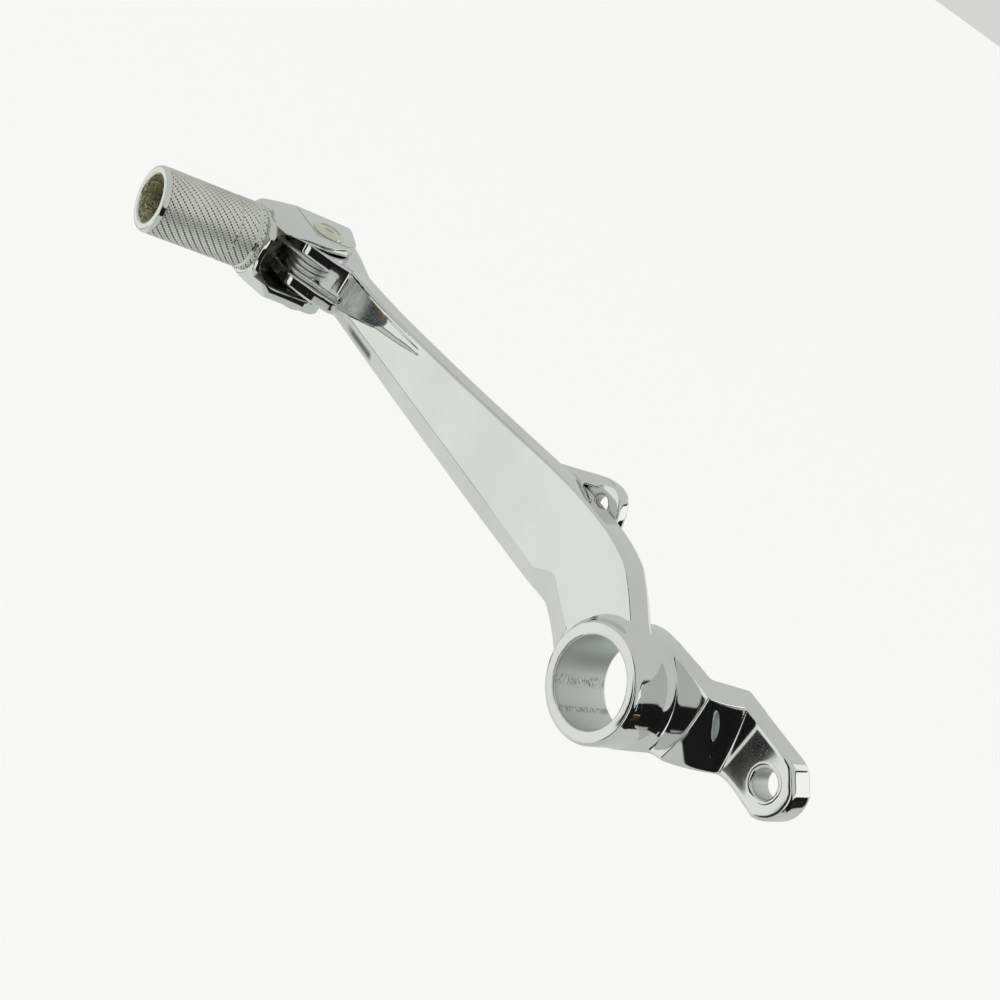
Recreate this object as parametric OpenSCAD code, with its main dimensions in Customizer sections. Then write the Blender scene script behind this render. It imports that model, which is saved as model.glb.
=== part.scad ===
// Rear brake pedal with a folding, spring-returned toe piece.
// Units are millimetres. X runs to the rear, Y inboard along the pivot, Z up.
// The origin is on the pivot axis, in the outboard end face of the hub.

/* [Pivot hub] */
// Bore for the pivot shaft
hub_bore_d = 22; // [18:0.5:24]
// Wall around the bore
hub_wall = 3.6; // [2.6:0.1:4.4]
// Length of the hub along the pivot
hub_len = 18.2; // [16:0.2:24]

/* [Lever arm] */
// Distance from the pivot axis forward to the toe pin
pin_reach = 166.6; // [150:0.5:190]
// Height of the fork centre above the pivot axis
pin_rise = 6; // [4.5:0.5:7.5]
// Thickness of the arm
arm_t = 7; // [6:0.25:8.5]
// Set back of the flat arm face from the end of the hub
arm_set = 3.3; // [2.5:0.1:4]
// Height of the arm at its knee near the hub
knee_h = 26.3; // [24:0.5:28]
// Width of the bevel along the lower edge
bevel_w = 5.9; // [3:0.1:7]
// Depth of the bevel along the lower edge
bevel_d = 3; // [1.5:0.1:4]
// Depth of the hollow behind the fork
hollow_d = 3.2; // [1.5:0.1:4.2]

/* [Spring tab] */
// Thickness of the tab
tab_t = 3.4; // [2.6:0.1:4.4]
// Hole for the pedal return spring
tab_hole_d = 5; // [4:0.1:5.6]

/* [Rear lug] */
// Hole for the brake rod
lug_hole_d = 7; // [5:0.1:9]
// Radius of the rounded lug end
lug_r = 8.4; // [7.5:0.1:9]
// Distance from the pivot axis back to the rod hole
lug_reach = 37.8; // [34:0.1:48]
// Height of the rod hole above the pivot axis
lug_rise = 7.7; // [7:0.1:8.4]
// Thickness of the lug
lug_t = 6.8; // [5:0.1:9]
// Step of the lug inboard from the neck
lug_step = 12; // [9:0.5:16]

/* [Fork] */
// Thickness of each fork ear
ear_t = 4; // [3:0.1:4.5]
// Gap between the fork ears, filled by the spring
ear_gap = 6.8; // [6.6:0.1:7.6]
// Radius of the fork ear ends around the pin
ear_r = 7.2; // [6.6:0.1:7.6]

/* [Toe pin] */
// Diameter of the pin
pin_d = 8; // [6:0.1:8.4]
// Diameter of the pin heads
pin_head_d = 9.6; // [9:0.1:11]
// Height of the pin heads
pin_head_h = 0.9; // [0.5:0.1:1.5]

/* [Toe piece] */
// Thickness of each yoke ear
yoke_t = 3.1; // [2.4:0.1:4]
// Outside diameter of the peg
peg_d = 19.4; // [17:0.1:20.5]
// Bore of the hollow peg
peg_bore_d = 14; // [10:0.1:15]
// Length of the peg from its bead to the open end
peg_len = 32.3; // [28:0.1:45]
// Angle of the peg forward of square
peg_splay = 8; // [0:0.5:12]

/* [Spring] */
// Diameter of the spring wire
wire_d = 1.55; // [1.3:0.05:1.55]

/* [Fits] */
// Gap between faces that slide or pass each other
side_gap = 0.3; // [0.2:0.05:0.4]
// Gap under the fork, which the toe piece hangs away from
low_gap = 1.2; // [0.3:0.1:1.6]
// Radial clearance of the pin in the fork
pin_clear = 0.05; // [0.02:0.01:0.1]

/* [Hidden] */
$fn = 72;

// Hub and arm
hub_r = hub_bore_d / 2 + hub_wall;
arm_back = arm_set + arm_t;
root_fillet = 2.4;
edge_cut = 0.5;

// Fork, seen from above about the pin
pin_x = -pin_reach;
fork_h = ear_gap + 2 * ear_t;
fork_top = pin_rise + fork_h / 2;
fork_bottom = pin_rise - fork_h / 2;
fork_root_x = pin_x + 13.6;
slot_root_x = fork_root_x - 1.8;
hollow_x = fork_root_x + 0.8;
ear_stop_y = -ear_r - 0.2;

// Neck and lug
neck_t = 6.2;
neck_y = hub_len - neck_t;
lug_y = neck_y + lug_step;
lug_back = lug_y + lug_t;
step_x = 20.5;
step_run = 6.3;
step_r = 24.7;
step_spin = 75.5;
step_wall = 7;
lug_top = lug_rise + lug_r;
lug_bottom = lug_rise - lug_r;
lug_flat = lug_r - 0.5;

// Tab, with its places given from the spring hole along its turned upper edge
tab_x = -37.1;
tab_z = knee_h - 1.15;
tab_turn = 26.2;
tab_face_y = arm_back + 0.5;
tab_back = tab_face_y + tab_t;
tab_front = arm_set + 2.5;
tab_face_r = 5.1;
tab_face_in = 2.3;
tab_face_top = 3.9;
tab_ramp = 41;
tab_ramp_top = 5.2;
tab_root = 26;

// Yoke
yoke_in_top = fork_top + side_gap;
yoke_in_bottom = fork_bottom - low_gap;
yoke_top = yoke_in_top + yoke_t;
yoke_bottom = yoke_in_bottom - yoke_t - 1.2;
yoke_mid = (yoke_top + yoke_bottom) / 2;
yoke_wall_y = ear_stop_y - side_gap;
yoke_round = 14.4;
scoop_end = -15.6;
scoop_corner = 5.2;
scoop_x = pin_x - 5;
peg_r = peg_d / 2;
peg_root = [pin_x - 10.3, -15.6, pin_rise - 2];
bead_r = peg_r + 0.45;
peg_floor = 5.5;
peg_rim = 1;

// Spring
coil_r = pin_d / 2 + 1.9;
coil_h = ear_gap - wire_d - 0.15;
coil_z = pin_rise - coil_h / 2;
coil_start = -46;
coil_end = -1140;
leg_len = 12.6;
leg_in = 2.6;
// Way along the leg from the coil to the wall of the scoop
leg_reach = (coil_r * cos(coil_end) + pin_x - scoop_x) / abs(sin(coil_end));

// Point on a smooth curve through the points p, between p[i] and p[i + 1]
function curve_at(p, i, t) =
    let (a = p[max(i - 1, 0)], b = p[i], c = p[i + 1], d = p[min(i + 2, len(p) - 1)])
    0.5 * (2 * b + t * (c - a) + t * t * (2 * a - 5 * b + 4 * c - d)
        + t * t * t * (3 * b - 3 * c + d - a));

function curve(p, n) = concat(
    [for (i = [0 : len(p) - 2]) for (k = [0 : n - 1]) curve_at(p, i, k / n)],
    [p[len(p) - 1]]);

function arc(cx, cy, r, a0, a1, n) =
    [for (k = [0 : n]) let (a = a0 + (a1 - a0) * k / n) [cx + r * cos(a), cy + r * sin(a)]];

// A side outline (x, z) given thickness from y0 to y1
module side_plate(y0, y1) {
    translate([0, y1, 0])
        rotate([90, 0, 0])
            linear_extrude(y1 - y0)
                children();
}

// A plan outline (x, y) given height from z0 to z1
module plan_plate(z0, z1) {
    translate([0, 0, z0])
        linear_extrude(z1 - z0)
            children();
}

// A body turned about the Y axis from a profile of (radius, -y)
module turned_y() {
    rotate([90, 0, 0])
        rotate_extrude()
            children();
}

module arm_outline() {
    top = curve([
        [fork_root_x, fork_top],
        [fork_root_x + 14, fork_top + 0.9],
        [fork_root_x + 29, fork_top + 2.3],
        [-96, knee_h - 7.4],
        [-69, knee_h - 3.9],
        [-47, knee_h - 1],
        [-34, knee_h],
        [-24, knee_h - 0.1],
        [-17, knee_h - 1.2],
        [-13.5, knee_h - 2.4],
        [-10.5, knee_h - 4.2],
        [-7, knee_h - 6.6],
        [-4, knee_h - 8.9],
        [-1, hub_r + 0.8],
        [2.5, hub_r - 0.1],
        [5, hub_r - 1.6]], 4);
    low = curve([
        [-4, -hub_r + 0.6],
        [-10.5, -13.2],
        [-16.2, -10.6],
        [-20.1, -7.2],
        [-24.2, -4],
        [-29, -1.6],
        [-34, -0.8],
        [-42, -1.1],
        [-70, fork_bottom - 0.2],
        [-110, fork_bottom - 0.4],
        [fork_root_x, fork_bottom]], 5);
    polygon(concat(top, [[0, 0]], low));
}

// Half space under a plane that leaves the face at (x, z) and falls by turn
module below(x, z, turn) {
    translate([x, arm_set, z])
        rotate([0, turn, 0])
            rotate([-atan(bevel_w / bevel_d), 0, 0])
                translate([-200, -60, -120])
                    cube([400, 120, 120]);
}

// Bevel of the lower edge: straight, wider at the knee, narrower to the hub
module lower_bevel() {
    intersection() {
        union() {
            below(-100, fork_bottom + bevel_w - 0.4, 0);
            below(-33.5, 5.8, -32);
        }
        below(-29.3, 7.2, 25);
    }
}

module arm_plate() {
    difference() {
        side_plate(arm_set, arm_back)
            arm_outline();
        lower_bevel();
    }
}

module hub_body() {
    turned_y()
        polygon([
            [0, 0],
            [hub_r - edge_cut, 0],
            [hub_r, -edge_cut],
            [hub_r, edge_cut - hub_len],
            [hub_r - edge_cut, -hub_len],
            [0, -hub_len]]);
}

// Concave ring where a plate with its face at y meets the hub
module root_ring(y) {
    turned_y()
        difference() {
            translate([hub_r - 1, -y - 1])
                square([root_fillet + 1, root_fillet + 1]);
            translate([hub_r + root_fillet, root_fillet - y])
                circle(root_fillet);
        }
}

module neck_outline() {
    top = curve([
        [1, hub_r + 1.3],
        [5, lug_top],
        [12, lug_top + 0.3],
        [22, lug_top + 0.2],
        [lug_reach - 4, lug_top],
        [lug_reach, lug_top]], 4);
    low = curve([
        [lug_reach - 1, lug_bottom + 0.6],
        [lug_reach - 6, lug_bottom + 0.9],
        [28, lug_bottom + 0.4],
        [25, lug_bottom - 1.2],
        [21.5, lug_bottom - 2.7],
        [17, -5],
        [12.5, -8.8],
        [7.5, -hub_r + 1.8],
        [2, -hub_r + 0.6]], 4);
    polygon(concat(
        arc(0, 0, hub_r + 1.1, 165, 92, 12),
        top,
        arc(lug_reach, lug_rise, lug_r, 84, -72, 26),
        low,
        [[0, 0]]));
}

module neck_plan() {
    polygon([
        [-8, neck_y],
        [lug_reach + lug_r + 5, neck_y],
        [lug_reach + lug_r + 5, lug_back],
        [step_x - step_wall + 2.5, lug_back],
        [step_x - step_wall, hub_len],
        [-8, hub_len]]);
}

// Large cylinder that the step wall is part of: its side runs from the top
// corner of the neck down to the foot of the lug
module step_round() {
    way = [step_run, lug_step, lug_bottom - lug_top];
    translate([step_x, neck_y, lug_top])
        rotate([0, 0, atan2(way.y, way.x)])
            rotate([0, acos(way.z / norm(way)), 0])
                rotate([0, 0, step_spin])
                    translate([step_r, 0, 0])
                        cylinder(r = step_r, h = 160, center = true, $fn = 180);
}

// Space outboard of the lug, as far in as the step wall
module step_space() {
    difference() {
        translate([step_x - 4, neck_y - 1, lug_bottom - 12])
            cube([lug_reach, lug_step + 1, 40]);
        step_round();
    }
}

module neck_and_lug() {
    difference() {
        intersection() {
            side_plate(neck_y, lug_back)
                neck_outline();
            plan_plate(-hub_r - 5, lug_top + 5)
                neck_plan();
        }
        translate([lug_reach, lug_y - 1, lug_rise])
            rotate([0, -48, 0])
                translate([lug_flat, 0, -10])
                    cube([5, lug_t + 2, 20]);
        step_space();
    }
    intersection() {
        root_ring(neck_y);
        side_plate(neck_y - root_fillet, neck_y + 1)
            neck_outline();
    }
}

module tab_outline() {
    rim = curve([
        [-60, knee_h - 5.1],
        [-55, knee_h - 2.7],
        [-49.7, knee_h],
        [-44.9, knee_h + 2.5],
        [-40.7, knee_h + 4.4],
        [-37, knee_h + 5.2],
        [-34.6, knee_h + 5.1],
        [-32.6, knee_h + 4.1],
        [-31.1, knee_h + 2.1],
        [-29.8, knee_h - 0.9],
        [-28.6, knee_h - 5]], 4);
    polygon(concat(rim, [[-33, knee_h - 11], [-50, knee_h - 11]]));
}

// Stands the children on the spring hole, in the face of the tab
module at_tab() {
    translate([tab_x, tab_face_y, tab_z])
        rotate([0, -tab_turn, 0])
            children();
}

// Path of the cutter that faced the tab around the spring hole
module tab_face() {
    at_tab() {
        translate([tab_face_in, 0, 0.4])
            rotate([90, 0, 0])
                cylinder(r = tab_face_r, h = 8);
        translate([-14, -8, -8])
            cube([14 + tab_face_in, 8, 8 + tab_face_top]);
        translate([0, -8, -8])
            cube([14, 8, 8.4]);
    }
}

// The tab rises behind the arm: it slopes up from the upper edge in front,
// is faced flat around the hole, and runs out into the back of the arm below
module spring_tab() {
    difference() {
        side_plate(tab_front, tab_back)
            tab_outline();
        at_tab()
            translate([-30, 0, tab_ramp_top])
                rotate([90 - tab_ramp, 0, 0])
                    translate([0, -30, 0])
                        cube([60, 60, 20]);
        tab_face();
        translate([0, tab_back, knee_h - 3])
            rotate([-tab_root, 0, 0])
                translate([-80, 0, -30])
                    cube([80, 10, 30]);
    }
}

// Plan of the fork about the pin: wide in Y, with the stop corner in front
module fork_plan() {
    polygon(concat(
        [[fork_root_x + 0.3, arm_set],
         [fork_root_x, arm_set],
         [pin_x + 10.2, -1]],
        arc(pin_x, 0, ear_r, -42, -90, 8),
        [[pin_x - 0.5, ear_stop_y],
         [pin_x - 6, ear_stop_y],
         [pin_x - 7.6, -5.5],
         [pin_x - 7.6, 11.6],
         [pin_x - 6.6, 14.2],
         [pin_x - 4, 14.9],
         [pin_x + 3.1, 13.5],
         [fork_root_x, arm_back + 0.2],
         [fork_root_x + 0.3, arm_back]]));
}

module fork_solid() {
    plan_plate(fork_bottom, fork_top)
        fork_plan();
}

// Space for the spring between the ears, open to the front and both sides
module spring_slot() {
    translate([pin_x - 20, -20, pin_rise - ear_gap / 2])
        cube([slot_root_x - pin_x + 20, 40, ear_gap]);
}

// Three-cornered hollow behind the fork, running out along the upper edge
module fork_hollow() {
    translate([hollow_x, arm_set + hollow_d, 0])
        rotate([90, 0, 0])
            rotate([0, -4.5, 0])
                linear_extrude(hollow_d + 4)
                    polygon([
                        [0, fork_bottom + 3],
                        [0, fork_top - 1.3],
                        [21.5, fork_top - 0.2],
                        [22.6, fork_top - 1.2],
                        [19.5, fork_top - 4.8]]);
    translate([hollow_x + 19, arm_set + 0.7, 0])
        rotate([90, 0, 0])
            rotate([0, -1.3, 0])
                linear_extrude(3)
                    polygon([
                        [0, fork_top - 4.6],
                        [2, fork_top],
                        [28, fork_top + 2.7],
                        [29, fork_top + 2.2]]);
}

module leg_notch() {
    translate([slot_root_x - 1, arm_set - 2, pin_rise - ear_gap / 2])
        cube([4.5, 4.6, wire_d + 0.6]);
}

module pedal_arm() {
    color("Silver")
    difference() {
        union() {
            arm_plate();
            hub_body();
            intersection() {
                root_ring(arm_set);
                side_plate(arm_set - root_fillet, arm_set + 1)
                    arm_outline();
            }
            neck_and_lug();
            fork_solid();
            spring_tab();
        }
        // Pivot bore
        translate([0, hub_len + 1, 0])
            rotate([90, 0, 0])
                cylinder(d = hub_bore_d, h = hub_len + 2);
        // Rod hole
        translate([lug_reach, lug_back + 1, lug_rise])
            rotate([90, 0, 0])
                cylinder(d = lug_hole_d, h = lug_t + 2);
        // Spring hole
        translate([tab_x, tab_back + 1, tab_z])
            rotate([90, 0, 0])
                cylinder(d = tab_hole_d, h = tab_t + 1.4);
        // Pin bores
        translate([pin_x, 0, fork_bottom - 1])
            cylinder(d = pin_d + 2 * pin_clear, h = fork_h + 2);
        spring_slot();
        fork_hollow();
        leg_notch();
    }
}

module yoke_plan() {
    polygon([
        [pin_x + 6.4, -5],
        [pin_x + 7, 0],
        [pin_x + 6.6, 4.6],
        [pin_x + 4.9, 7.6],
        [pin_x + 1.6, 9.9],
        [pin_x - 6.8, 12.9],
        [pin_x - 9, 13.1],
        [pin_x - 10.6, 11.8],
        [pin_x - 11.9, 3],
        [pin_x - 12.4, -6],
        [peg_root[0] - bead_r + 0.2, peg_root[1] - 1],
        [peg_root[0], peg_root[1] - 3],
        [peg_root[0] + bead_r, peg_root[1] - 1],
        [pin_x + 3.6, -13.6],
        [pin_x + 5.6, -9.5]]);
}

module scoop_side() {
    half = (yoke_in_top - yoke_in_bottom) / 2;
    mid = (yoke_in_top + yoke_in_bottom) / 2;
    translate([scoop_end, mid - half + scoop_corner])
        square([12, 2 * (half - scoop_corner)]);
    translate([scoop_end + scoop_corner, mid - half])
        square([12, 2 * half]);
    for (z = [-1, 1])
        translate([scoop_end + scoop_corner, mid + z * (half - scoop_corner)])
            circle(scoop_corner);
}

module yoke_side() {
    polygon([
        [peg_root[1] - 3, yoke_bottom],
        [14, yoke_bottom],
        [14, yoke_top],
        [peg_root[1] + 9.5, yoke_top],
        [peg_root[1] + 1, peg_root[2] + bead_r - 0.8],
        [peg_root[1] - 3, peg_root[2] + bead_r - 0.8]]);
}

// Turns a body that stands on Z so that it leaves the yoke along the peg
module along_peg() {
    translate(peg_root)
        rotate([0, 0, -peg_splay])
            rotate([90, 0, 0])
                children();
}

module yoke_body() {
    intersection() {
        plan_plate(yoke_bottom, yoke_top)
            yoke_plan();
        translate([pin_x - 40, 0, 0])
            rotate([90, 0, 90])
                linear_extrude(60)
                    yoke_side();
        along_peg()
            translate([0, 0, -40])
                cylinder(r1 = bead_r + 40.8, r2 = bead_r + 0.8, h = 40);
        translate([pin_x - 2.8, 0, yoke_mid])
            rotate([0, 0, -11])
                rotate([90, 0, 0])
                    cylinder(r = yoke_round, h = 80, center = true, $fn = 96);
    }
}

module peg_body() {
    along_peg()
        rotate_extrude()
            polygon([
                [0, -2],
                [bead_r - 0.2, -2],
                [bead_r, 0],
                [bead_r, 0.7],
                [bead_r - 0.4, 0.9],
                [bead_r, 1.1],
                [bead_r, 1.8],
                [bead_r - 0.6, 2.1],
                [peg_r + 0.15, 2.3],
                [peg_r + 0.15, 7.9],
                [peg_r - 0.25, 8],
                [peg_r - 0.25, 8.3],
                [peg_r, 8.4],
                [peg_r, peg_len - peg_rim],
                [peg_r - peg_rim * 0.4, peg_len - peg_rim * 0.35],
                [peg_r - peg_rim, peg_len],
                [0, peg_len]]);
}

module peg_bore() {
    bore_r = peg_bore_d / 2;
    along_peg()
        rotate_extrude()
            polygon([
                [0, peg_floor - 2],
                [bore_r, peg_floor],
                [bore_r, peg_len - 0.5],
                [bore_r + 0.6, peg_len + 0.1],
                [bore_r + 0.6, peg_len + 1],
                [0, peg_len + 1]]);
}

module toe_piece() {
    color("Gainsboro")
    difference() {
        union() {
            yoke_body();
            peg_body();
        }
        peg_bore();
        // Room for the fork, with the wall that stops against it
        translate([pin_x - 30, yoke_wall_y, yoke_in_bottom])
            cube([60, 40, yoke_in_top - yoke_in_bottom]);
        // Scoop that lets the fork in when the toe piece is folded
        translate([scoop_x, 0, 0])
            rotate([90, 0, 90])
                linear_extrude(30)
                    scoop_side();
        // Hole for the pin
        translate([pin_x, 0, yoke_bottom - 1])
            cylinder(d = pin_d, h = yoke_top - yoke_bottom + 2);
        // Hole for the leg of the spring
        translate([pin_x, 0, coil_z + coil_h])
            rotate([0, 0, coil_end])
                translate([coil_r, -leg_reach + 2, 0])
                    rotate([90, 0, 0])
                        cylinder(d = wire_d + 0.6, h = leg_in + 2.6);
    }
}

module pin_head(z, up) {
    translate([pin_x, 0, z])
        rotate([up ? 0 : 180, 0, 0])
            rotate_extrude()
                polygon([
                    [0, -1],
                    [pin_d / 2 - 0.5, -1],
                    [pin_d / 2 - 0.5, 0],
                    [pin_head_d / 2, 0],
                    [pin_head_d / 2 - 0.15, pin_head_h * 0.5],
                    [pin_head_d / 2 - 1, pin_head_h],
                    [pin_head_d / 2 - 2, pin_head_h],
                    [pin_head_d / 2 - 3.4, pin_head_h * 0.45],
                    [0, pin_head_h * 0.3]]);
}

module pivot_pin() {
    color("DarkKhaki")
    union() {
        translate([pin_x, 0, yoke_bottom])
            cylinder(d = pin_d, h = yoke_top - yoke_bottom);
        pin_head(yoke_top, true);
        pin_head(yoke_bottom, false);
    }
}

// Point on the wire at angle a of the coil, and off it by t along the tangent
function wire_at(a, t, z) = [coil_r * cos(a) - t * sin(a), coil_r * sin(a) + t * cos(a), z];

// Centre line of the wire: the arm leg, the turns, the toe-piece leg
function wire_path() =
    let (n = 73, top = coil_z + coil_h)
    concat(
        [wire_at(coil_start, leg_len, coil_z), wire_at(coil_start, 1, coil_z)],
        [for (k = [0 : n]) wire_at(coil_start + (coil_end - coil_start) * k / n, 0,
            coil_z + coil_h * k / n)],
        [wire_at(coil_end, -1, top), wire_at(coil_end, -leg_reach - leg_in, top)]);

module return_spring() {
    path = wire_path();
    sides = 12;
    last = len(path) - 1;
    rings = [for (i = [0 : last])
        let (
            t = path[min(i + 1, last)] - path[max(i - 1, 0)],
            u = t / norm(t),
            s = cross(u, [0, 0, 1]) / norm(cross(u, [0, 0, 1])),
            w = cross(s, u))
        for (k = [0 : sides - 1])
            path[i] + wire_d / 2 * (cos(k * 360 / sides) * s + sin(k * 360 / sides) * w)];
    walls = [for (i = [0 : last - 1]) for (k = [0 : sides - 1])
        let (j = (k + 1) % sides)
        [i * sides + k, (i + 1) * sides + k, (i + 1) * sides + j, i * sides + j]];
    ends = [
        [for (k = [0 : sides - 1]) k],
        [for (k = [sides - 1 : -1 : 0]) last * sides + k]];
    color("LightSteelBlue")
    translate([pin_x, 0, 0])
        polyhedron(points = rings, faces = concat(walls, ends), convexity = 6);
}

pedal_arm();
toe_piece();
pivot_pin();
return_spring();
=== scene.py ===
import bpy
import bmesh
import math
from mathutils import Matrix, Vector


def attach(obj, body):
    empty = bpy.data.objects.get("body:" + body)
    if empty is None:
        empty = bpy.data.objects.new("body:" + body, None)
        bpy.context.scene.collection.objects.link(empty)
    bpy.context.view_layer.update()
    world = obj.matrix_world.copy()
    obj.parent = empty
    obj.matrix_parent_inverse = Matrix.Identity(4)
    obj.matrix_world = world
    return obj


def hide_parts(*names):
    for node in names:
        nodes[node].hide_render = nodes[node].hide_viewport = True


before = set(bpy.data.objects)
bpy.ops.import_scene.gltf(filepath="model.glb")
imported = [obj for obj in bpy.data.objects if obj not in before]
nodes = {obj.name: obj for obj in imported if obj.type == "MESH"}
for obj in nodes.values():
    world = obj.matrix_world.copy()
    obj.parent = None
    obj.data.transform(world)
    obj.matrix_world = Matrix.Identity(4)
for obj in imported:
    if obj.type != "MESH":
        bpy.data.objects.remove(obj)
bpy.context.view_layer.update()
mm = 0.001
# the toe pin stands upright at this x, and the yoke, the pin and the spring are all placed from it
pinX = -166.6 * mm
print("pedal: frame loaded,", len(nodes), "CAD nodes")

# camera: the photograph looks down on the outboard face, turned almost onto its side
cameraLook = {
    "place": (0.20266, -0.29344, 0.16865),
    "right": (0.4722, 0.7024, 0.5326),
    "up": (-0.6358, -0.1471, 0.7577),
    "lens": 61.2,
}


def makeCamera(look):
    data = bpy.data.cameras.new("photoCamera")
    data.lens = look["lens"]
    data.sensor_width = 36
    data.clip_start, data.clip_end = 0.01, 50
    cam = bpy.data.objects.new("photoCamera", data)
    bpy.context.scene.collection.objects.link(cam)
    right = Vector(look["right"]).normalized()
    up = Vector(look["up"])
    up = (up - right * up.dot(right)).normalized()
    back = right.cross(up)
    turn = Matrix((right, up, back)).transposed().to_4x4()
    cam.matrix_world = Matrix.Translation(Vector(look["place"])) @ turn
    bpy.context.scene.camera = cam


makeCamera(cameraLook)


# ---- shader help
class Num:
    # a number on a socket; arithmetic on it adds Math nodes
    def __init__(self, tree, socket):
        self.tree, self.socket = tree, socket

    def op(self, kind, *others, flip=False):
        node = self.tree.nodes.new("ShaderNodeMath")
        node.operation = kind
        values = (*others, self) if flip else (self, *others)
        for slot, value in zip(node.inputs, values):
            if isinstance(value, Num):
                self.tree.links.new(value.socket, slot)
            else:
                slot.default_value = value
        return Num(self.tree, node.outputs[0])

    def __add__(self, other): return self.op("ADD", other)
    def __radd__(self, other): return self.op("ADD", other, flip=True)
    def __sub__(self, other): return self.op("SUBTRACT", other)
    def __rsub__(self, other): return self.op("SUBTRACT", other, flip=True)
    def __mul__(self, other): return self.op("MULTIPLY", other)
    def __rmul__(self, other): return self.op("MULTIPLY", other, flip=True)
    def __pow__(self, other): return self.op("POWER", other)
    def __abs__(self): return self.op("ABSOLUTE")
    def turnOf(self, other): return self.op("ARCTAN2", other)
    def most(self, other): return self.op("MAXIMUM", other)
    def least(self, other): return self.op("MINIMUM", other)

    def rise(self, low, high):
        # 0 below low, 1 above high, smooth between
        node = self.tree.nodes.new("ShaderNodeMapRange")
        node.interpolation_type = "SMOOTHSTEP"
        self.tree.links.new(self.socket, node.inputs["Value"])
        turned = low > high
        node.inputs["From Min"].default_value = high if turned else low
        node.inputs["From Max"].default_value = low if turned else high
        node.inputs["To Min"].default_value = 1 if turned else 0
        node.inputs["To Max"].default_value = 0 if turned else 1
        return Num(self.tree, node.outputs["Result"])

    def between(self, start, full, fade, end):
        # 1 from full to fade, 0 before start and after end
        return self.rise(start, full) * self.rise(end, fade)


class Finish:
    # one material: a Principled shader and the nodes that feed it
    def __init__(self, name, colour, metal, rough):
        self.material = bpy.data.materials.new(name)
        self.material.use_nodes = True
        self.tree = self.material.node_tree
        self.tree.nodes.clear()
        end = self.tree.nodes.new("ShaderNodeOutputMaterial")
        self.shader = self.tree.nodes.new("ShaderNodeBsdfPrincipled")
        self.tree.links.new(self.shader.outputs[0], end.inputs[0])
        self.shader.inputs["Base Color"].default_value = (*colour, 1)
        self.shader.inputs["Metallic"].default_value = metal
        self.shader.inputs["Roughness"].default_value = rough
        self.place = self.node("ShaderNodeTexCoord").outputs["Object"]
        split = self.node("ShaderNodeSeparateXYZ", sockets={0: self.place})
        self.x, self.y, self.z = (Num(self.tree, o) for o in split.outputs)

    def node(self, kind, settings=None, sockets=None):
        made = self.tree.nodes.new(kind)
        for name, value in (settings or {}).items():
            setattr(made, name, value)
        for name, value in (sockets or {}).items():
            slot = made.inputs[name]
            if isinstance(value, Num):
                self.tree.links.new(value.socket, slot)
            elif isinstance(value, bpy.types.NodeSocket):
                self.tree.links.new(value, slot)
            else:
                slot.default_value = value
        return made

    def noise(self, perMetre, detail=2, rough=0.5, place=None):
        made = self.node("ShaderNodeTexNoise", {"noise_dimensions": "3D"}, {
            "Vector": place or self.place, "Scale": perMetre, "Detail": detail, "Roughness": rough})
        return Num(self.tree, made.outputs["Fac"])

    def cells(self, perMetre):
        made = self.node("ShaderNodeTexVoronoi", {"feature": "F1"}, {
            "Vector": self.place, "Scale": perMetre})
        return Num(self.tree, made.outputs["Distance"])

    def stretched(self, *scale):
        made = self.node("ShaderNodeMapping", {}, {"Vector": self.place, "Scale": scale})
        return made.outputs[0]

    def mixed(self, share, first, second):
        made = self.node("ShaderNodeMix", {"data_type": "RGBA"}, {0: share})
        for slot, value in ((6, first), (7, second)):
            if isinstance(value, tuple):
                made.inputs[slot].default_value = (*value, 1)
            else:
                self.tree.links.new(value, made.inputs[slot])
        return made.outputs[2]

    def bump(self, height, depth, normal=None):
        sockets = {"Height": height, "Distance": depth, "Strength": 1.0}
        if normal is not None:
            sockets["Normal"] = normal
        return self.node("ShaderNodeBump", {}, sockets).outputs[0]

    def feed(self, **links):
        names = {"colour": "Base Color", "metal": "Metallic", "rough": "Roughness", "normal": "Normal"}
        for name, value in links.items():
            source = value.socket if isinstance(value, Num) else value
            self.tree.links.new(source, self.shader.inputs[names[name]])
        return self.material

    def fedBy(self, name):
        # the socket that a finish built on another one finds already linked
        return self.shader.inputs[name].links[0].from_socket


# ---- finishes
platedLook = {
    "bright": (0.775, 0.785, 0.77),
    "dull": (0.72, 0.73, 0.715),
    "rough": 0.045,
    "haze": 0.05,
    "pits": 0.25,
    "cloudsPerMetre": 38,
    "pitsPerMetre": 900,
    "pitPatchesPerMetre": 120,
    "wavesPerMetre": 240,
    "depth": 0.02 * mm,
    "toeTint": (0.985, 0.995, 0.97),
    "pinTint": (0.96, 0.94, 0.80),
}


def platedFinish(name, look, tint=(1, 1, 1)):
    bright = tuple(a * b for a, b in zip(look["bright"], tint))
    dull = tuple(a * b for a, b in zip(look["dull"], tint))
    made = Finish(name, bright, 1.0, look["rough"])
    cloud = made.noise(look["cloudsPerMetre"], 3)
    patches = made.noise(look["pitPatchesPerMetre"], 2).rise(0.58, 0.66)
    speck = made.cells(look["pitsPerMetre"]).rise(0.10, 0.03) * patches
    waves = made.noise(look["wavesPerMetre"], 1) * 0.25
    made.feed(
        colour=made.mixed(cloud.rise(0.35, 0.75), bright, dull),
        rough=look["rough"] + cloud.rise(0.45, 0.8) * look["haze"] + speck * look["pits"],
        normal=made.bump(speck * -1.0 + waves, look["depth"]))
    return made


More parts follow.
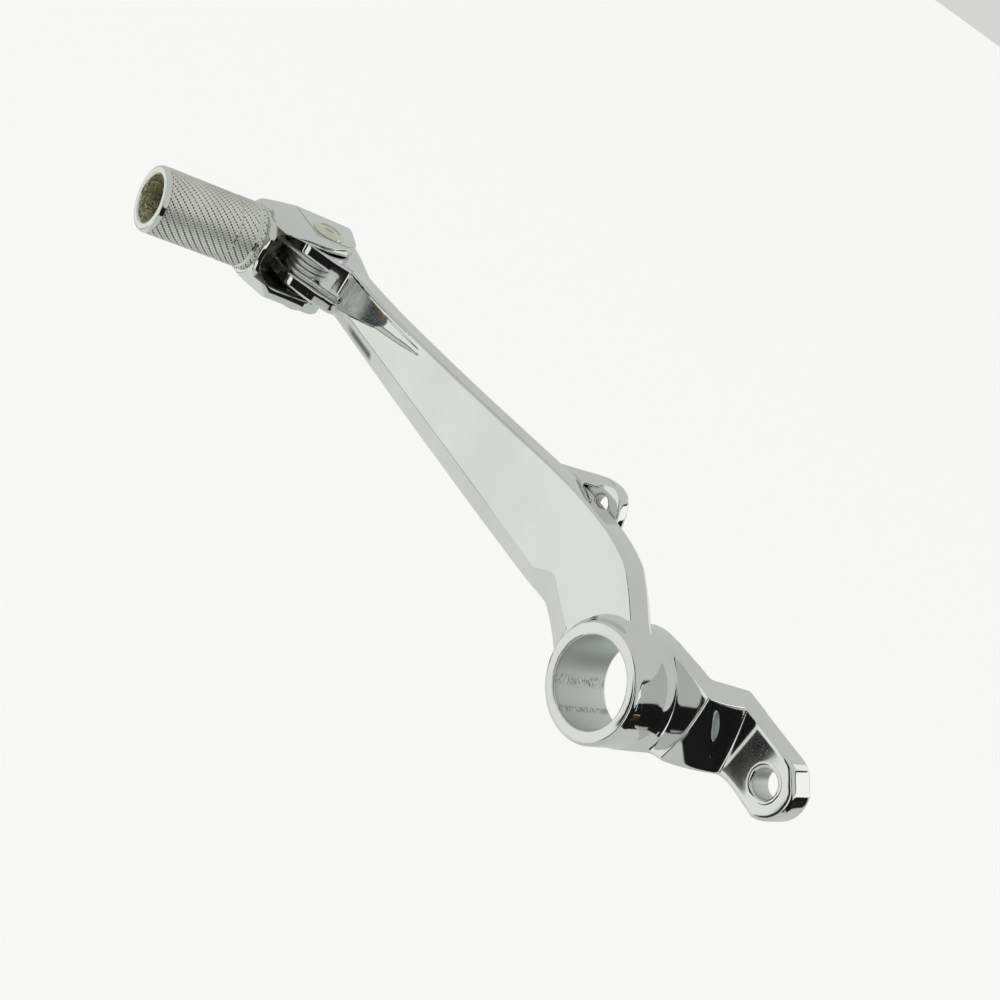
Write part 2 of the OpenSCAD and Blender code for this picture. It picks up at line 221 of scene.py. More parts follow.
# the pivot bore, the two drilled holes and the hollow behind the fork differ from the plating
# round them; the hollow fades in between the first two values of each row and out between the last
armLook = {
    "bore": 11.2 * mm,
    "drilled": [
        {"x": 37.8 * mm, "z": 7.7 * mm, "radius": 3.6 * mm, "from": 23.8 * mm},
        {"x": -37.1 * mm, "z": 25.15 * mm, "radius": 2.6 * mm, "from": 8.8 * mm},
    ],
    "boreLow": (0.70, 0.715, 0.695),
    "boreHigh": (0.66, 0.71, 0.685),
    "boreRough": 0.42,
    "pitRows": [{"at": 2.46, "half": 0.17, "share": 0.7}, {"at": 1.815, "half": 0.10, "share": 1.0}],
    "pitColour": (0.08, 0.08, 0.075),
    "hollowX": (-153.5 * mm, -152.8 * mm, -129.5 * mm, -127.5 * mm),
    "hollowY": (3.85 * mm, 4.7 * mm, 7.4 * mm, 8.2 * mm),
    "hollowZ": (-1.0 * mm, 1.0 * mm, 13.6 * mm, 14.2 * mm),
    "hollowNear": (0.60, 0.61, 0.585),
    # the near-black colour for deep in the hollow is painted shade
    "hollowPaintedShade": (0.07, 0.08, 0.085),
    "hollowSpeck": (0.30, 0.33, 0.35),
    "hollowWarm": (0.23, 0.18, 0.10),
    "depth": 0.06 * mm,
}


def armFinish(plating, look):
    made = platedFinish("platedCasting", plating)
    plateColour, plateNormal = made.fedBy("Base Color"), made.fedBy("Normal")
    plateRough = Num(made.tree, made.fedBy("Roughness"))
    away = (made.x * made.x + made.z * made.z) ** 0.5
    inHole = away.rise(look["bore"] + 0.25 * mm, look["bore"])
    for hole in look["drilled"]:
        x, z = made.x - hole["x"], made.z - hole["z"]
        inside = ((x * x + z * z) ** 0.5).rise(hole["radius"] + 0.2 * mm, hole["radius"])
        inHole = inHole.most(inside * made.y.rise(hole["from"], hole["from"] + 0.6 * mm))
    # fine turning marks run round the bore, and two rows of pits run along it
    rings = made.noise(1.0, 3, 0.6, made.stretched(90, 2600, 90))
    grain = made.noise(1500, 3, 0.65)
    turned = made.z.turnOf(made.x)
    first, second = (
        abs(turned + row["at"]).rise(row["half"], 0.03) * row["share"] for row in look["pitRows"])
    ticks = made.noise(1.0, 2, 0.6, made.stretched(900, 4200, 900)).rise(0.50, 0.62)
    pits = first.most(second) * ticks
    boreColour = made.mixed(made.z.rise(-4.0 * mm, 4.0 * mm), look["boreLow"], look["boreHigh"])
    boreColour = made.mixed(pits * 0.85, boreColour, look["pitColour"])
    # the hollow is plated but was never polished; its colour is painted darker away from the fork,
    # deeper in the hollow, as painted shade, and the same mask also roughens it
    inHollow = made.y.between(*look["hollowY"]) * made.x.between(*look["hollowX"])
    inHollow = inHollow * made.z.between(*look["hollowZ"])
    speck = made.noise(1900, 3, 0.7).rise(0.50, 0.68)
    deepHollowShade = (made.x + made.noise(260, 2) * (4.0 * mm)).rise(-142.5 * mm, -137.5 * mm)
    rawColour = made.mixed(deepHollowShade, look["hollowNear"], look["hollowPaintedShade"])
    rawColour = made.mixed(speck * deepHollowShade * 0.4, rawColour, look["hollowSpeck"])
    warm = made.z.rise(9.8 * mm, 11.6 * mm) * made.x.rise(-147 * mm, -143 * mm)
    warm = warm * made.noise(340, 2).rise(0.40, 0.60)
    rawColour = made.mixed(warm * 0.8, rawColour, look["hollowWarm"])
    colour = made.mixed(inHole, plateColour, boreColour)
    colour = made.mixed(inHollow, colour, rawColour)
    rough = plateRough * (1 - inHole) + (look["boreRough"] + rings * 0.12 + pits * 0.3) * inHole
    rough = rough * (1 - inHollow) + (0.16 + speck * 0.25 + deepHollowShade * 0.1) * inHollow
    height = (rings * 0.22 + grain * 0.12 - pits * 0.8) * inHole + speck * inHollow * deepHollowShade * 0.3
    made.feed(
        colour=colour, rough=rough, metal=1 - inHollow * 0.6,
        normal=made.bump(height, look["depth"], plateNormal))
    return made.material


# plating outside, and a dull dark inside that the polishing wheel never reached: the scoop, which
# is open to the rear, and the round room that the ears of the fork turn in
yokeLook = {
    "dark": (0.10, 0.10, 0.075),
    "light": (0.26, 0.25, 0.19),
    "level": (-3.0 * mm, -2.7 * mm, 12.9 * mm, 13.2 * mm),
    "scoopX": pinX - 5.6 * mm,
    "scoopY": -15.6 * mm,
    "room": 8.5 * mm,
    "rough": 0.26,
}


def yokeFinish(plating, look):
    made = platedFinish("platedYoke", plating, plating["toeTint"])
    plateColour = made.fedBy("Base Color")
    plateRough = Num(made.tree, made.fedBy("Roughness"))
    along = made.x - pinX
    inScoop = made.x.rise(look["scoopX"], look["scoopX"] + 0.5 * mm)
    inScoop = inScoop * made.y.rise(look["scoopY"], look["scoopY"] + 0.4 * mm)
    inRoom = ((along * along + made.y * made.y) ** 0.5).rise(look["room"] + 0.4 * mm, look["room"])
    inside = made.z.between(*look["level"]) * inScoop.most(inRoom)
    tone = made.noise(420, 3, 0.6)
    dull = made.mixed(tone.rise(0.35, 0.7), look["dark"], look["light"])
    made.feed(
        colour=made.mixed(inside, plateColour, dull),
        rough=plateRough * (1 - inside) + (look["rough"] + tone * 0.14) * inside)
    return made.material


# bright crossing ridges and dark pits, which are larger on the underside of the peg; the near-white on
# the ridges is a painted highlight, and the dark in the pits, more of it lower down the peg, is painted
# shade
gripLook = {
    # the ridge colour is a painted highlight
    "crest": (0.97, 0.965, 0.92),
    "worn": (0.60, 0.605, 0.57),
    "fresh": (0.72, 0.725, 0.69),
    # the pit colour is painted shade in the knurl valleys
    "pit": (0.05, 0.052, 0.044),
    "rough": 0.30,
    "top": 9.0 * mm,
    "under": -3.0 * mm,
}


def gripFinish(look):
    made = Finish("knurledPlating", look["fresh"], 1.0, look["rough"])
    valley = made.node("ShaderNodeAttribute", {"attribute_name": "valley"})
    depth = Num(made.tree, valley.outputs["Fac"])
    wear = made.noise(160, 3, 0.6)
    # painted shade: the pits are painted darker and wider lower down on the peg, with some random
    # spread
    below = made.z.rise(look["top"], look["under"])
    dark = (depth + below * 0.26 + wear * 0.12).rise(0.52, 0.80)
    body = made.mixed(made.noise(70, 2).rise(0.35, 0.65), look["worn"], look["fresh"])
    # the ridge tops get the painted highlight colour
    tone = made.mixed(depth.rise(0.02, 0.20), look["crest"], body)
    made.feed(
        colour=made.mixed(dark, tone, look["pit"]),
        rough=look["rough"] + wear * 0.12 + depth * 0.12)
    return made.material


rawBoreLook = {
    "dark": (0.10, 0.10, 0.052),
    "olive": (0.24, 0.23, 0.12),
    "grain": (0.85, 0.84, 0.60),
    "metal": 0.25,
    "rough": 0.45,
    "depth": 0.15 * mm,
}


def rawBoreFinish(look):
    made = Finish("rawPegBore", look["olive"], look["metal"], look["rough"])
    grain = made.noise(1500, 4, 0.8)
    patch = made.noise(330, 3, 0.6)
    deep = made.mixed(patch.rise(0.35, 0.65), look["dark"], look["olive"])
    made.feed(
        colour=made.mixed(grain.rise(0.46, 0.66), deep, look["grain"]),
        rough=look["rough"] + patch * 0.35,
        normal=made.bump(grain, look["depth"]))
    return made.material


wireLook = {"bright": (0.84, 0.85, 0.84), "drawn": (0.60, 0.61, 0.59), "rough": 0.26}


def wireFinish(look):
    made = Finish("springWire", look["bright"], 1.0, look["rough"])
    drawn = made.noise(1.0, 3, 0.6, made.stretched(900, 900, 3200))
    made.feed(
        colour=made.mixed(drawn.rise(0.35, 0.7), look["bright"], look["drawn"]),
        rough=look["rough"] + drawn * 0.16)
    return made.material


finishes = {
    "arm": armFinish(platedLook, armLook),
    "toe": yokeFinish(platedLook, yokeLook),
    "pin": platedFinish("platedPin", platedLook, platedLook["pinTint"]).material,
    "grip": gripFinish(gripLook),
    "rawBore": rawBoreFinish(rawBoreLook),
    "wire": wireFinish(wireLook),
}
print("pedal: finishes made,", len(finishes))


# ---- mesh help
def settled(obj):
    # the object's evaluated mesh, with its modifiers taken off
    graph = bpy.context.evaluated_depsgraph_get()
    mesh = bpy.data.meshes.new_from_object(obj.evaluated_get(graph), depsgraph=graph)
    obj.modifiers.clear()
    old = obj.data
    obj.data = mesh
    if old.users == 0:
        bpy.data.meshes.remove(old)
    return obj


def smooth(obj):
    obj.data.polygons.foreach_set("use_smooth", [True] * len(obj.data.polygons))


def linked(name, mesh):
    obj = bpy.data.objects.new(name, mesh)
    bpy.context.scene.collection.objects.link(obj)
    return obj


def built(name, work):
    # an object from a finished bmesh, which is freed
    mesh = bpy.data.meshes.new(name)
    work.to_mesh(mesh)
    work.free()
    return linked(name, mesh)


def dress(obj, materials, body, slot, *stoodFor):
    for k, one in enumerate(materials):
        if k < len(obj.data.materials):
            obj.data.materials[k] = one
        else:
            obj.data.materials.append(one)
    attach(obj, body)
    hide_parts(*stoodFor)
    return obj


def castCopy(name, nodeName, look):
    # a rounded, polished skin of a CAD node: remeshed finely, eased, then thinned with its normals
    # kept; "walls" are upright walls that the remesh joins to it, each an outline with its low and
    # high end, and "keepBehind" is a plane, as a point and a normal, that it is cut off at
    mesh = nodes[nodeName].data.copy()
    work = bmesh.new()
    work.from_mesh(mesh)
    bmesh.ops.remove_doubles(work, verts=work.verts, dist=1e-6)
    cut = look.get("keepBehind")
    if cut:
        point, normal = cut
        found = bmesh.ops.bisect_plane(
            work, geom=[*work.verts, *work.edges, *work.faces], dist=1e-7,
            plane_co=point, plane_no=normal, clear_outer=True)
        edges = [e for e in found["geom_cut"] if isinstance(e, bmesh.types.BMEdge)]
        bmesh.ops.triangle_fill(work, use_beauty=True, edges=edges)
        bmesh.ops.recalc_face_normals(work, faces=work.faces)
    for outline, low, high in look.get("walls", []):
        foot = [work.verts.new((*spot, low)) for spot in outline]
        head = [work.verts.new((*spot, high)) for spot in outline]
        made = [work.faces.new(foot), work.faces.new(head)]
        made += [work.faces.new((foot[k - 1], foot[k], head[k], head[k - 1])) for k in range(len(foot))]
        bmesh.ops.recalc_face_normals(work, faces=made)
    work.to_mesh(mesh)
    work.free()
    obj = linked(name, mesh)
    skin = obj.modifiers.new("skin", "REMESH")
    skin.mode = "VOXEL"
    skin.voxel_size = look["voxel"]
    skin.use_smooth_shade = True
    ease = obj.modifiers.new("ease", "SMOOTH")
    ease.factor = 0.5
    ease.iterations = look["ease"]
    settled(obj)
    smooth(obj)
    fine = linked(name + "Fine", obj.data.copy())
    thin = obj.modifiers.new("thin", "DECIMATE")
    thin.ratio = min(1.0, look["triangles"] / (2 * len(obj.data.polygons)))
    settled(obj)
    smooth(obj)
    carry = obj.modifiers.new("carry", "DATA_TRANSFER")
    carry.object = fine
    carry.use_loop_data = True
    carry.data_types_loops = {"CUSTOM_NORMAL"}
    carry.loop_mapping = "POLYINTERP_NEAREST"
    settled(obj)
    fineMesh = fine.data
    bpy.data.objects.remove(fine)
    bpy.data.meshes.remove(fineMesh)
    print("pedal:", name, len(obj.data.polygons), "faces")
    return obj


def lathe(profile, steps):
    # a skin from (radius, along) points turned about Z
    turns = [(math.cos(2 * math.pi * k / steps), math.sin(2 * math.pi * k / steps))
             for k in range(steps)]
    work = bmesh.new()
    rings = []
    for radius, along in profile:
        if radius < 1e-7:
            rings.append([work.verts.new((0, 0, along))])
        else:
            rings.append([work.verts.new((radius * c, radius * s, along)) for c, s in turns])
    for low, high in zip(rings, rings[1:]):
        for k in range(steps):
            n = (k + 1) % steps
            if len(low) == 1:
                work.faces.new((low[0], high[n], high[k]))
            elif len(high) == 1:
                work.faces.new((low[k], low[n], high[0]))
            else:
                work.faces.new((low[k], low[n], high[n], high[k]))
    bmesh.ops.recalc_face_normals(work, faces=work.faces)
    for face in work.faces:
        face.smooth = True
    return work


def rounded(points, radius, steps=4):
    # a profile with its corners turned into arcs
    out = [points[0]]
    for a, b, c in zip(points, points[1:], points[2:]):
        a, b, c = Vector(a), Vector(b), Vector(c)
        inward, onward = (a - b), (c - b)
        reach = min(radius, inward.length * 0.45, onward.length * 0.45)
        start, end = b + inward.normalized() * reach, b + onward.normalized() * reach
        for k in range(steps + 1):
            t = k / steps
            p = start * (1 - t) ** 2 + b * 2 * t * (1 - t) + end * t ** 2
            out.append((p.x, p.y))
    out.append(points[-1])
    return out


# ---- the arm
armShape = {"voxel": 0.22 * mm, "ease": 38, "triangles": 190000}
arm = castCopy("pedalArm", "pedal_arm", armShape)
dress(arm, [finishes["arm"]], "arm", "arm_plating", "pedal_arm")

# ---- the toe piece: yoke, peg core and knurled grip
pegShape = {
    "root": (-0.1769, -0.0156, 0.004),
    "splay": 8.0,
    "radius": 9.7 * mm,
    "bore": 7.0 * mm,
    "length": 32.3 * mm,
    "bead": 10.15 * mm,
    "floor": 5.5 * mm,
    "diamonds": 52,
    "pitch": 1.17 * mm,
    "depth": 0.32 * mm,
    "steps": 7,
    "sink": 0.6 * mm,
}
pegTurn = Matrix.Translation(Vector(pegShape["root"])) @ Matrix.Rotation(
    math.radians(-pegShape["splay"]), 4, "Z") @ Matrix.Rotation(math.radians(90), 4, "X")
pegWay = pegTurn.to_3x3() @ Vector((0, 0, 1))

# the front wall of the yoke is round on the inside, so that the ears of the fork turn in it
yokeWallShape = {
    "round": 8.3 * mm,
    "fromAngle": 118,
    "toAngle": 230,
    "low": -3.2 * mm,
    "high": 14.3 * mm,
    "front": [(-5.2, -9.5), (-11.9, -9.5), (-12.1, -6), (-11.6, 3), (-10.3, 11.6), (-8.9, 12.8),
              (-6.6, 12.6)],
}


def yokeWall(look):
    r = look["round"]
    turns = [math.radians(a) for a in range(look["fromAngle"], look["toAngle"] + 1, 5)]
    inner = [(pinX + r * math.cos(a), r * math.sin(a)) for a in turns]
    outer = [(pinX + x * mm, y * mm) for x, y in look["front"]]
    return inner + outer, look["low"], look["high"]


yokeShape = {
    "voxel": 0.15 * mm,
    "ease": 110,
    "triangles": 150000,
    "walls": [yokeWall(yokeWallShape)],
    "keepBehind": (Vector(pegShape["root"]) + pegWay * 0.05 * mm, pegWay),
}
yoke = castCopy("toeYoke", "toe_piece", yokeShape)
dress(yoke, [finishes["toe"]], "toe", "toe_plating", "toe_piece")


def pegCore(look):
    r, bore, bead, end = look["radius"], look["bore"], look["bead"], look["length"]
    outside = [
        (0, -1.0 * mm), (bead - 0.9 * mm, -1.0 * mm),
        (bead - 0.45 * mm, -0.3 * mm), (bead - 0.42 * mm, 1.6 * mm),
        (r - 0.35 * mm, 1.8 * mm), (r - 0.35 * mm, end - 1.75 * mm),
        (r - 0.02 * mm, end - 1.6 * mm), (r - 0.05 * mm, end - 1.0 * mm),
        (r - 0.35 * mm, end - 0.3 * mm), (r - 0.9 * mm, end)]
    inside = [
        (bore + 0.75 * mm, end), (bore + 0.35 * mm, end - 0.12 * mm), (bore, end - 0.6 * mm),
        (bore, look["floor"]), (bore - 0.5 * mm, look["floor"] - 0.2 * mm),
        (0, look["floor"] - 2.0 * mm)]
    profile = rounded([*outside, *inside], 0.22 * mm, 3)
    work = lathe(profile, 144)
    for face in work.faces:
        spot = face.calc_center_median()
        deep = math.hypot(spot.x, spot.y) < bore + 0.12 * mm and spot.z > look["floor"] - 2.2 * mm
        face.material_index = 1 if deep and spot.z < end - 0.3 * mm else 0
    work.transform(pegTurn)
    return built("pegCore", work)


core = pegCore(pegShape)
dress(core, [finishes["toe"], finishes["rawBore"]], "toe", "toe_plating", "toe_piece")


# crossing ridges with a pit in each diamond; the tool that cut one way ran double, so that every
# other row of pits is shallow. The ends are turned down a little, over "fade", and the last ring of
# points, within "lip" of the end, goes down into the core
knurlShape = {
    "ridge": 0.05,
    "slope": 3.0,
    "meanRow": 0.70,
    "rowSwing": 0.30,
    "fade": 0.5 * mm,
    "drop": 0.12 * mm,
    "lip": 0.02 * mm,
}


def knurlTree(look):
    # a grid wrapped to a tube and cut by two crossing sets of helical grooves
    tree = bpy.data.node_groups.new("diamondKnurl", "GeometryNodeTree")
    face = tree.interface
    for name, kind in (("Radius", "Float"), ("Start", "Float"), ("End", "Float"), ("Around", "Int"),
                       ("Pitch", "Float"), ("Depth", "Float"), ("Steps", "Int"), ("Sink", "Float"),
                       ("Finish", "Material")):
        face.new_socket(name, in_out="INPUT", socket_type="NodeSocket" + kind)
    face.new_socket("Geometry", in_out="OUTPUT", socket_type="NodeSocketGeometry")
    new, link = tree.nodes.new, tree.links.new
    given = new("NodeGroupInput").outputs
    end = new("NodeGroupOutput")

    def calc(kind, *values):
        node = new("ShaderNodeMath")
        node.operation = kind
        for slot, value in zip(node.inputs, values):
            if isinstance(value, (int, float)):
                slot.default_value = value
            else:
                link(value, slot)
        return node.outputs[0]

    long = calc("SUBTRACT", given["End"], given["Start"])
    rows = calc("ROUND", calc("MULTIPLY", calc("DIVIDE", long, given["Pitch"]), given["Steps"]))
    grid = new("GeometryNodeMeshGrid")
    grid.inputs["Size X"].default_value = 1
    grid.inputs["Size Y"].default_value = 1
    link(calc("ADD", calc("MULTIPLY", given["Around"], given["Steps"]), 1), grid.inputs["Vertices X"])
    link(calc("ADD", rows, 1), grid.inputs["Vertices Y"])
    spot = new("ShaderNodeSeparateXYZ")
    link(new("GeometryNodeInputPosition").outputs[0], spot.inputs[0])
    share = calc("ADD", spot.outputs["X"], 0.5)
    along = calc("ADD", calc("MULTIPLY", calc("ADD", spot.outputs["Y"], 0.5), long), given["Start"])
    turns = calc("MULTIPLY", share, given["Around"])
    climb = calc("DIVIDE", along, given["Pitch"])
    twist = calc("SUBTRACT", turns, climb)
    swing = calc("SINE", calc("MULTIPLY", twist, math.pi))
    deepRow = calc("MULTIPLY_ADD", swing, look["rowSwing"], look["meanRow"])
    across = calc("PINGPONG", twist, 0.5)
    over = calc("PINGPONG", calc("ADD", turns, climb), 0.5)
    pit = calc("SUBTRACT", calc("MINIMUM", across, over), look["ridge"])
    pit = calc("MULTIPLY", pit, look["slope"])
    pit = calc("MINIMUM", calc("MAXIMUM", pit, 0.0), 1.0)
    crest = calc("SUBTRACT", 1.0, calc("MULTIPLY", pit, deepRow))
    fromStart, toEnd = calc("SUBTRACT", along, given["Start"]), calc("SUBTRACT", given["End"], along)
    fromEnd = calc("MINIMUM", fromStart, toEnd)
    edge = calc("MINIMUM", calc("DIVIDE", fromEnd, look["fade"]), 1.0)
    tucked = calc("LESS_THAN", fromEnd, look["lip"])
    valley = calc("SUBTRACT", 1.0, crest)
    radius = calc("SUBTRACT", given["Radius"], calc("MULTIPLY", valley, given["Depth"]))
    radius = calc("SUBTRACT", radius, calc("MULTIPLY", calc("SUBTRACT", 1.0, edge), look["drop"]))
    radius = calc("SUBTRACT", radius, calc("MULTIPLY", tucked, given["Sink"]))
    angle = calc("MULTIPLY", share, 2 * math.pi)
    point = new("ShaderNodeCombineXYZ")
    link(calc("MULTIPLY", radius, calc("COSINE", angle)), point.inputs["X"])
    link(calc("MULTIPLY", radius, calc("SINE", angle)), point.inputs["Y"])
    link(along, point.inputs["Z"])
    keep = new("GeometryNodeStoreNamedAttribute")
    keep.data_type = "FLOAT"
    keep.domain = "POINT"
    keep.inputs["Name"].default_value = "valley"
    link(grid.outputs["Mesh"], keep.inputs["Geometry"])
    link(valley, keep.inputs["Value"])
    place = new("GeometryNodeSetPosition")
    link(keep.outputs["Geometry"], place.inputs["Geometry"])
    link(point.outputs[0], place.inputs["Position"])
    merge = new("GeometryNodeMergeByDistance")
    merge.inputs["Distance"].default_value = 1e-6
    link(place.outputs["Geometry"], merge.inputs["Geometry"])
    real = new("GeometryNodeRealizeInstances")
    link(merge.outputs["Geometry"], real.inputs["Geometry"])
    paint = new("GeometryNodeSetMaterial")
    link(real.outputs["Geometry"], paint.inputs["Geometry"])
    link(given["Finish"], paint.inputs["Material"])
    link(paint.outputs["Geometry"], end.inputs["Geometry"])
    return tree


def knurledSleeve(name, sleeve, look, tree):
    obj = linked(name, bpy.data.meshes.new(name))
    made = obj.modifiers.new("knurl", "NODES")
    made.node_group = tree
    socket = {s.name: s.identifier for s in tree.interface.items_tree if s.in_out == "INPUT"}
    given = {
        "Radius": sleeve["radius"], "Start": sleeve["start"], "End": sleeve["end"],
        "Around": look["diamonds"], "Pitch": look["pitch"], "Depth": look["depth"],
        "Steps": look["steps"], "Sink": look["sink"], "Finish": finishes["grip"]}
    for key, value in given.items():
        made[socket[key]] = value
    settled(obj)
    work = bmesh.new()
    work.from_mesh(obj.data)
    rims = [e for e in work.edges if e.is_boundary]
    bmesh.ops.bridge_loops(work, edges=rims)
    bmesh.ops.recalc_face_normals(work, faces=work.faces)
    for face in work.faces:
        face.smooth = True
    work.transform(pegTurn)
    work.to_mesh(obj.data)
    work.free()
    print("pedal:", name, len(obj.data.polygons), "faces")
    return obj


# the long grip, the short collar behind the turned line, and the bead next to the yoke
sleeves = {
    "pegGrip": {"start": 8.25 * mm, "end": pegShape["length"] - 1.7 * mm, "radius": pegShape["radius"]},
    "pegCollar": {"start": 2.25 * mm, "end": 8.0 * mm, "radius": pegShape["radius"] + 0.12 * mm},
    "pegBead": {"start": 0.05 * mm, "end": 1.4 * mm, "radius": pegShape["bead"] - 0.05 * mm},
}
knurl = knurlTree(knurlShape)
for name, sleeve in sleeves.items():
    piece = knurledSleeve(name, sleeve, pegShape, knurl)
    dress(piece, [finishes["grip"]], "toe", "toe_plating", "toe_piece")


# ---- the toe pin
pinShape = {
    "shank": 4.0 * mm,
    "head": 4.8 * mm,
    "rise": 0.9 * mm,
    "top": 16.8 * mm,
    "bottom": -6.9 * mm,
}


def toePin(look):
    # a low head with a dimple at each end; the shank between them is as long as the yoke is high
    head, rise, shank, seat = look["head"], look["rise"], look["shank"], look["top"]
    top = [(shank, seat - 0.6 * mm), (shank, seat - 0.05 * mm), (head - 0.1 * mm, seat - 0.02 * mm),
           (head, seat + 0.25 * rise), (head - 0.25 * mm, seat + 0.75 * rise),
           (head - 0.9 * mm, seat + rise), (head - 1.9 * mm, seat + 0.93 * rise),
           (head - 3.2 * mm, seat + 0.5 * rise), (0, seat + 0.32 * rise)]
    low = [(r, look["bottom"] - (z - seat)) for r, z in reversed(top)]
    work = lathe(rounded([*low, *top], 0.18 * mm, 3), 96)
    work.transform(Matrix.Translation((pinX, 0, 0)))
    return built("toePin", work)


pin = toePin(pinShape)
dress(pin, [finishes["pin"]], "toe", "pin_plating", "pivot_pin")

# ---- the return spring, a wire wound round the pin
springShape = {
    "radius": 5.9 * mm,
    "wire": 0.775 * mm,
    "start": -46.0,
    "end": -1140.0,
    "low": 3.45 * mm,
    "high": 8.55 * mm,
    "legOut": 12.6 * mm,
    "legIn": 2.6 * mm,
    "wall": pinX - 5.0 * mm,
    "steps": 220,
    "sides": 5,
}


def returnSpring(look):
    def at(angle, off, z):
        # a point on the coil, and off it by a way along the tangent
        a = math.radians(angle)
        return Vector((pinX + look["radius"] * math.cos(a) - off * math.sin(a),
                       look["radius"] * math.sin(a) + off * math.cos(a), z))

    end = math.radians(look["end"])
    reach = (look["radius"] * math.cos(end) + pinX - look["wall"]) / abs(math.sin(end))
    points = [at(look["start"], look["legOut"] * k / 8, look["low"]) for k in range(8, 0, -1)]
    for k in range(look["steps"] + 1):
        t = k / look["steps"]
        points.append(at(look["start"] + (look["end"] - look["start"]) * t, 0,
                         look["low"] + (look["high"] - look["low"]) * t))
    points += [at(look["end"], -(reach + look["legIn"]) * k / 6, look["high"]) for k in range(1, 7)]
    line = bpy.data.curves.new("returnSpring", "CURVE")
    line.dimensions = "3D"
    line.bevel_depth = look["wire"]
    line.bevel_resolution = look["sides"]
    line.use_fill_caps = True
    strip = line.splines.new("POLY")
    strip.points.add(len(points) - 1)
    for spot, place in zip(strip.points, points):
        spot.co = (*place, 1)
    shape = linked("springLine", line)
    graph = bpy.context.evaluated_depsgraph_get()
    mesh = bpy.data.meshes.new_from_object(shape.evaluated_get(graph), depsgraph=graph)
    bpy.data.objects.remove(shape)
    work = bmesh.new()
    work.from_mesh(mesh)
    bmesh.ops.remove_doubles(work, verts=work.verts, dist=1e-7)
    bmesh.ops.recalc_face_normals(work, faces=work.faces)
    for face in work.faces:
        face.smooth = len(face.verts) == 4
    bpy.data.meshes.remove(mesh)
    return built("returnSpring", work)


spring = returnSpring(springShape)
dress(spring, [finishes["wire"]], "arm", "spring_wire", "return_spring")

# ---- studio: a pale floor, soft light from above, and cards that only the plating mirrors
studio = {
    "floor": -0.70,
    "floorSide": 40.0,
    "floorColour": (0.93, 0.93, 0.92),
    "horizon": (0.66, 0.66, 0.65),
    "zenith": (0.60, 0.605, 0.60),
    "sunPower": 1.45,
    "sunSpread": 60,
    "sunFrom": (-0.35, -0.45, 1.0),
    "tentReach": 0.62,
    "tentLow": (0.60, 0.615, 0.60),
    "tentHigh": (0.62, 0.63, 0.615),
}
# what the plating mirrors, as areas on a tent around the pedal: azimuth and height of the middle,
# half the width and half the height, the softness of the edge (degrees) and the brightness
tentAreas = {
    "frontGlow": {"at": (-141, -25), "half": (27, 19), "soft": 5, "glow": (0.90, 0.915, 0.885)},
    "lowGlow": {"at": (-160, -52), "half": (42, 14), "soft": 6, "glow": (0.76, 0.77, 0.75)},
    "sideScreen": {"at": (177, -16), "half": (6, 9), "soft": 4, "glow": (0.38, 0.39, 0.38)},
    "window": {"at": (53, 19), "half": (24, 10), "soft": 1.5, "glow": (1.12, 1.12, 1.10)},
    "windowBar": {"at": (53, 30.5), "half": (22, 1.6), "soft": 1, "glow": (0.05, 0.05, 0.05)},
    "rightGlow": {"at": (88, 25), "half": (11, 10), "soft": 2, "glow": (1.0, 1.0, 0.98)},
    "backScreen": {"at": (152, 26), "half": (6, 7), "soft": 3, "glow": (0.36, 0.37, 0.36)},
    "darkRoom": {"at": (-16, -8.5), "half": (72, 17.5), "soft": 1.5, "glow": (0.012, 0.012, 0.012)},
    "warmSpot": {"at": (48, -8), "half": (2, 1.5), "soft": 6, "glow": (0.055, 0.034, 0.018)},
    "slit": {"at": (-95, -18), "half": (10, 6), "soft": 1.5, "glow": (0.95, 0.95, 0.93)},
    "dimSlit": {"at": (-50, -24.6), "half": (7, 1.8), "soft": 1, "glow": (0.50, 0.51, 0.50)},
    "lowBar": {"at": (-155, -31), "half": (13, 1.2), "soft": 2, "glow": (0.22, 0.23, 0.22)},
    "lugShade": {"at": (-118.6, -24.2), "half": (2.7, 1.9), "soft": 0.4, "glow": (0.012, 0.012, 0.012)},
    "thinScreen": {"at": (-108, -15), "half": (4, 19), "soft": 1.5, "glow": (0.03, 0.03, 0.03)},
}


def studioFloor(look):
    work = bmesh.new()
    bmesh.ops.create_grid(work, x_segments=1, y_segments=1, size=look["floorSide"])
    work.transform(Matrix.Translation((0, 0, look["floor"])))
    floor = built("studioFloor", work)
    made = Finish("floorPaper", look["floorColour"], 0.0, 0.9)
    made.shader.inputs["Specular IOR Level"].default_value = 0.1
    floor.data.materials.append(made.material)


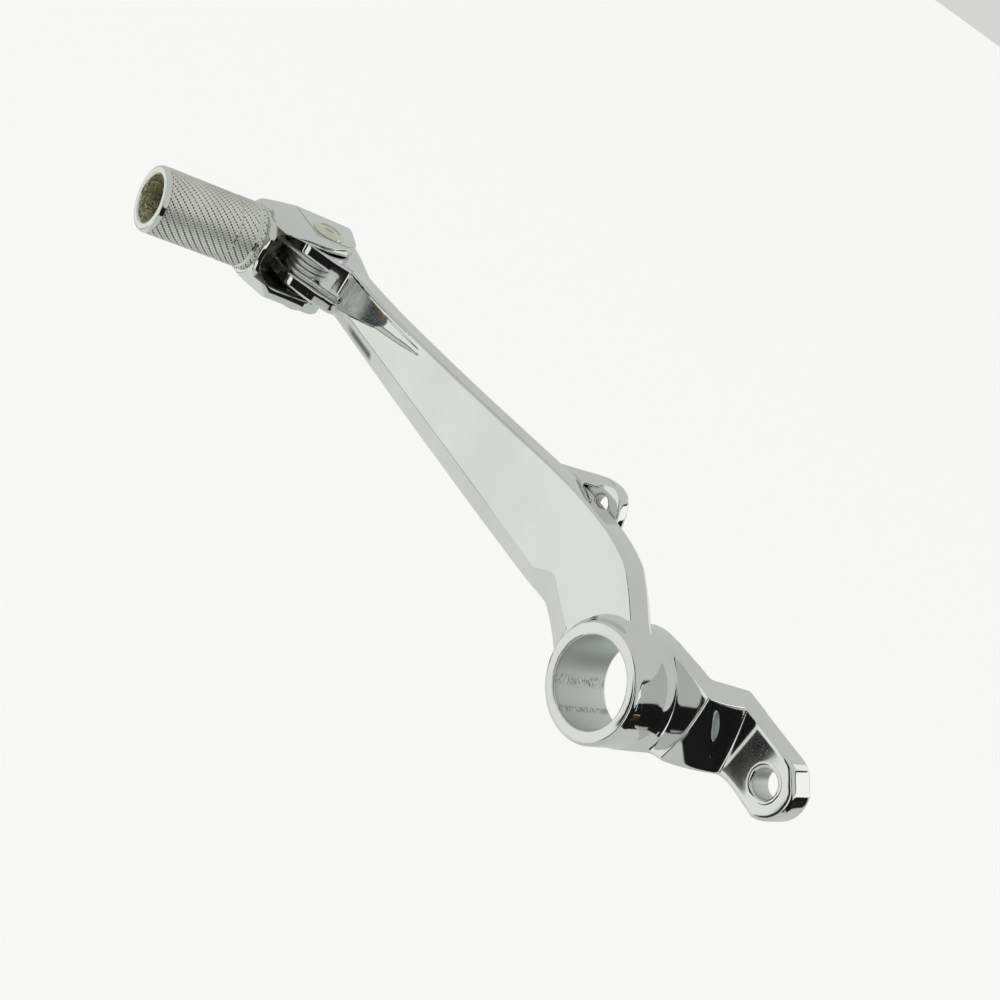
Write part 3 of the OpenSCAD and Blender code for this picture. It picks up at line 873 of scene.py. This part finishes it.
def lightTent(look, areas):
    # a sphere that only the plating sees
    work = bmesh.new()
    bmesh.ops.create_uvsphere(work, u_segments=96, v_segments=48, radius=look["tentReach"])
    tent = built("lightTent", work)
    made = Finish("tentCloth", (0, 0, 0), 0.0, 1.0)
    around = made.y.turnOf(made.x) * math.degrees(1)
    height = made.z.turnOf((made.x * made.x + made.y * made.y) ** 0.5) * math.degrees(1)
    colour = made.mixed(height.rise(-12, 40), look["tentLow"], look["tentHigh"])
    for area in areas.values():
        aside = abs(around - area["at"][0])
        aside = aside.least(360 - aside)
        away = abs(height - area["at"][1])
        wide, high = area["half"]
        inside = aside.rise(wide + area["soft"], wide) * away.rise(high + area["soft"], high)
        colour = made.mixed(inside, colour, area["glow"])
    made.tree.links.new(colour, made.shader.inputs["Emission Color"])
    made.shader.inputs["Emission Strength"].default_value = 1.0
    made.shader.inputs["Specular IOR Level"].default_value = 0.0
    made.material.cycles.emission_sampling = "NONE"
    tent.data.materials.append(made.material)
    tent.visible_camera = False
    tent.visible_shadow = False
    tent.visible_diffuse = False
    tent.visible_transmission = False


def softSky(look):
    world = bpy.data.worlds.new("softSky")
    bpy.context.scene.world = world
    world.use_nodes = True
    tree = world.node_tree
    tree.nodes.clear()
    end = tree.nodes.new("ShaderNodeOutputWorld")
    glow = tree.nodes.new("ShaderNodeBackground")
    spot = tree.nodes.new("ShaderNodeTexCoord")
    split = tree.nodes.new("ShaderNodeSeparateXYZ")
    ramp = tree.nodes.new("ShaderNodeValToRGB")
    ramp.color_ramp.elements[0].position = 0.0
    ramp.color_ramp.elements[0].color = (*look["horizon"], 1)
    ramp.color_ramp.elements[1].position = 0.6
    ramp.color_ramp.elements[1].color = (*look["zenith"], 1)
    tree.links.new(spot.outputs["Generated"], split.inputs[0])
    tree.links.new(split.outputs["Z"], ramp.inputs[0])
    tree.links.new(ramp.outputs[0], glow.inputs["Color"])
    tree.links.new(glow.outputs[0], end.inputs[0])


def softSun(look):
    data = bpy.data.lights.new("softSun", "SUN")
    data.energy = look["sunPower"]
    data.angle = math.radians(look["sunSpread"])
    lamp = bpy.data.objects.new("softSun", data)
    bpy.context.scene.collection.objects.link(lamp)
    lamp.location = look["sunFrom"]
    lamp.rotation_euler = (-Vector(look["sunFrom"])).to_track_quat("-Z", "Y").to_euler()
    lamp.visible_glossy = False


studioFloor(studio)
softSky(studio)
softSun(studio)
lightTent(studio, tentAreas)
bpy.context.scene.view_settings.view_transform = "Standard"
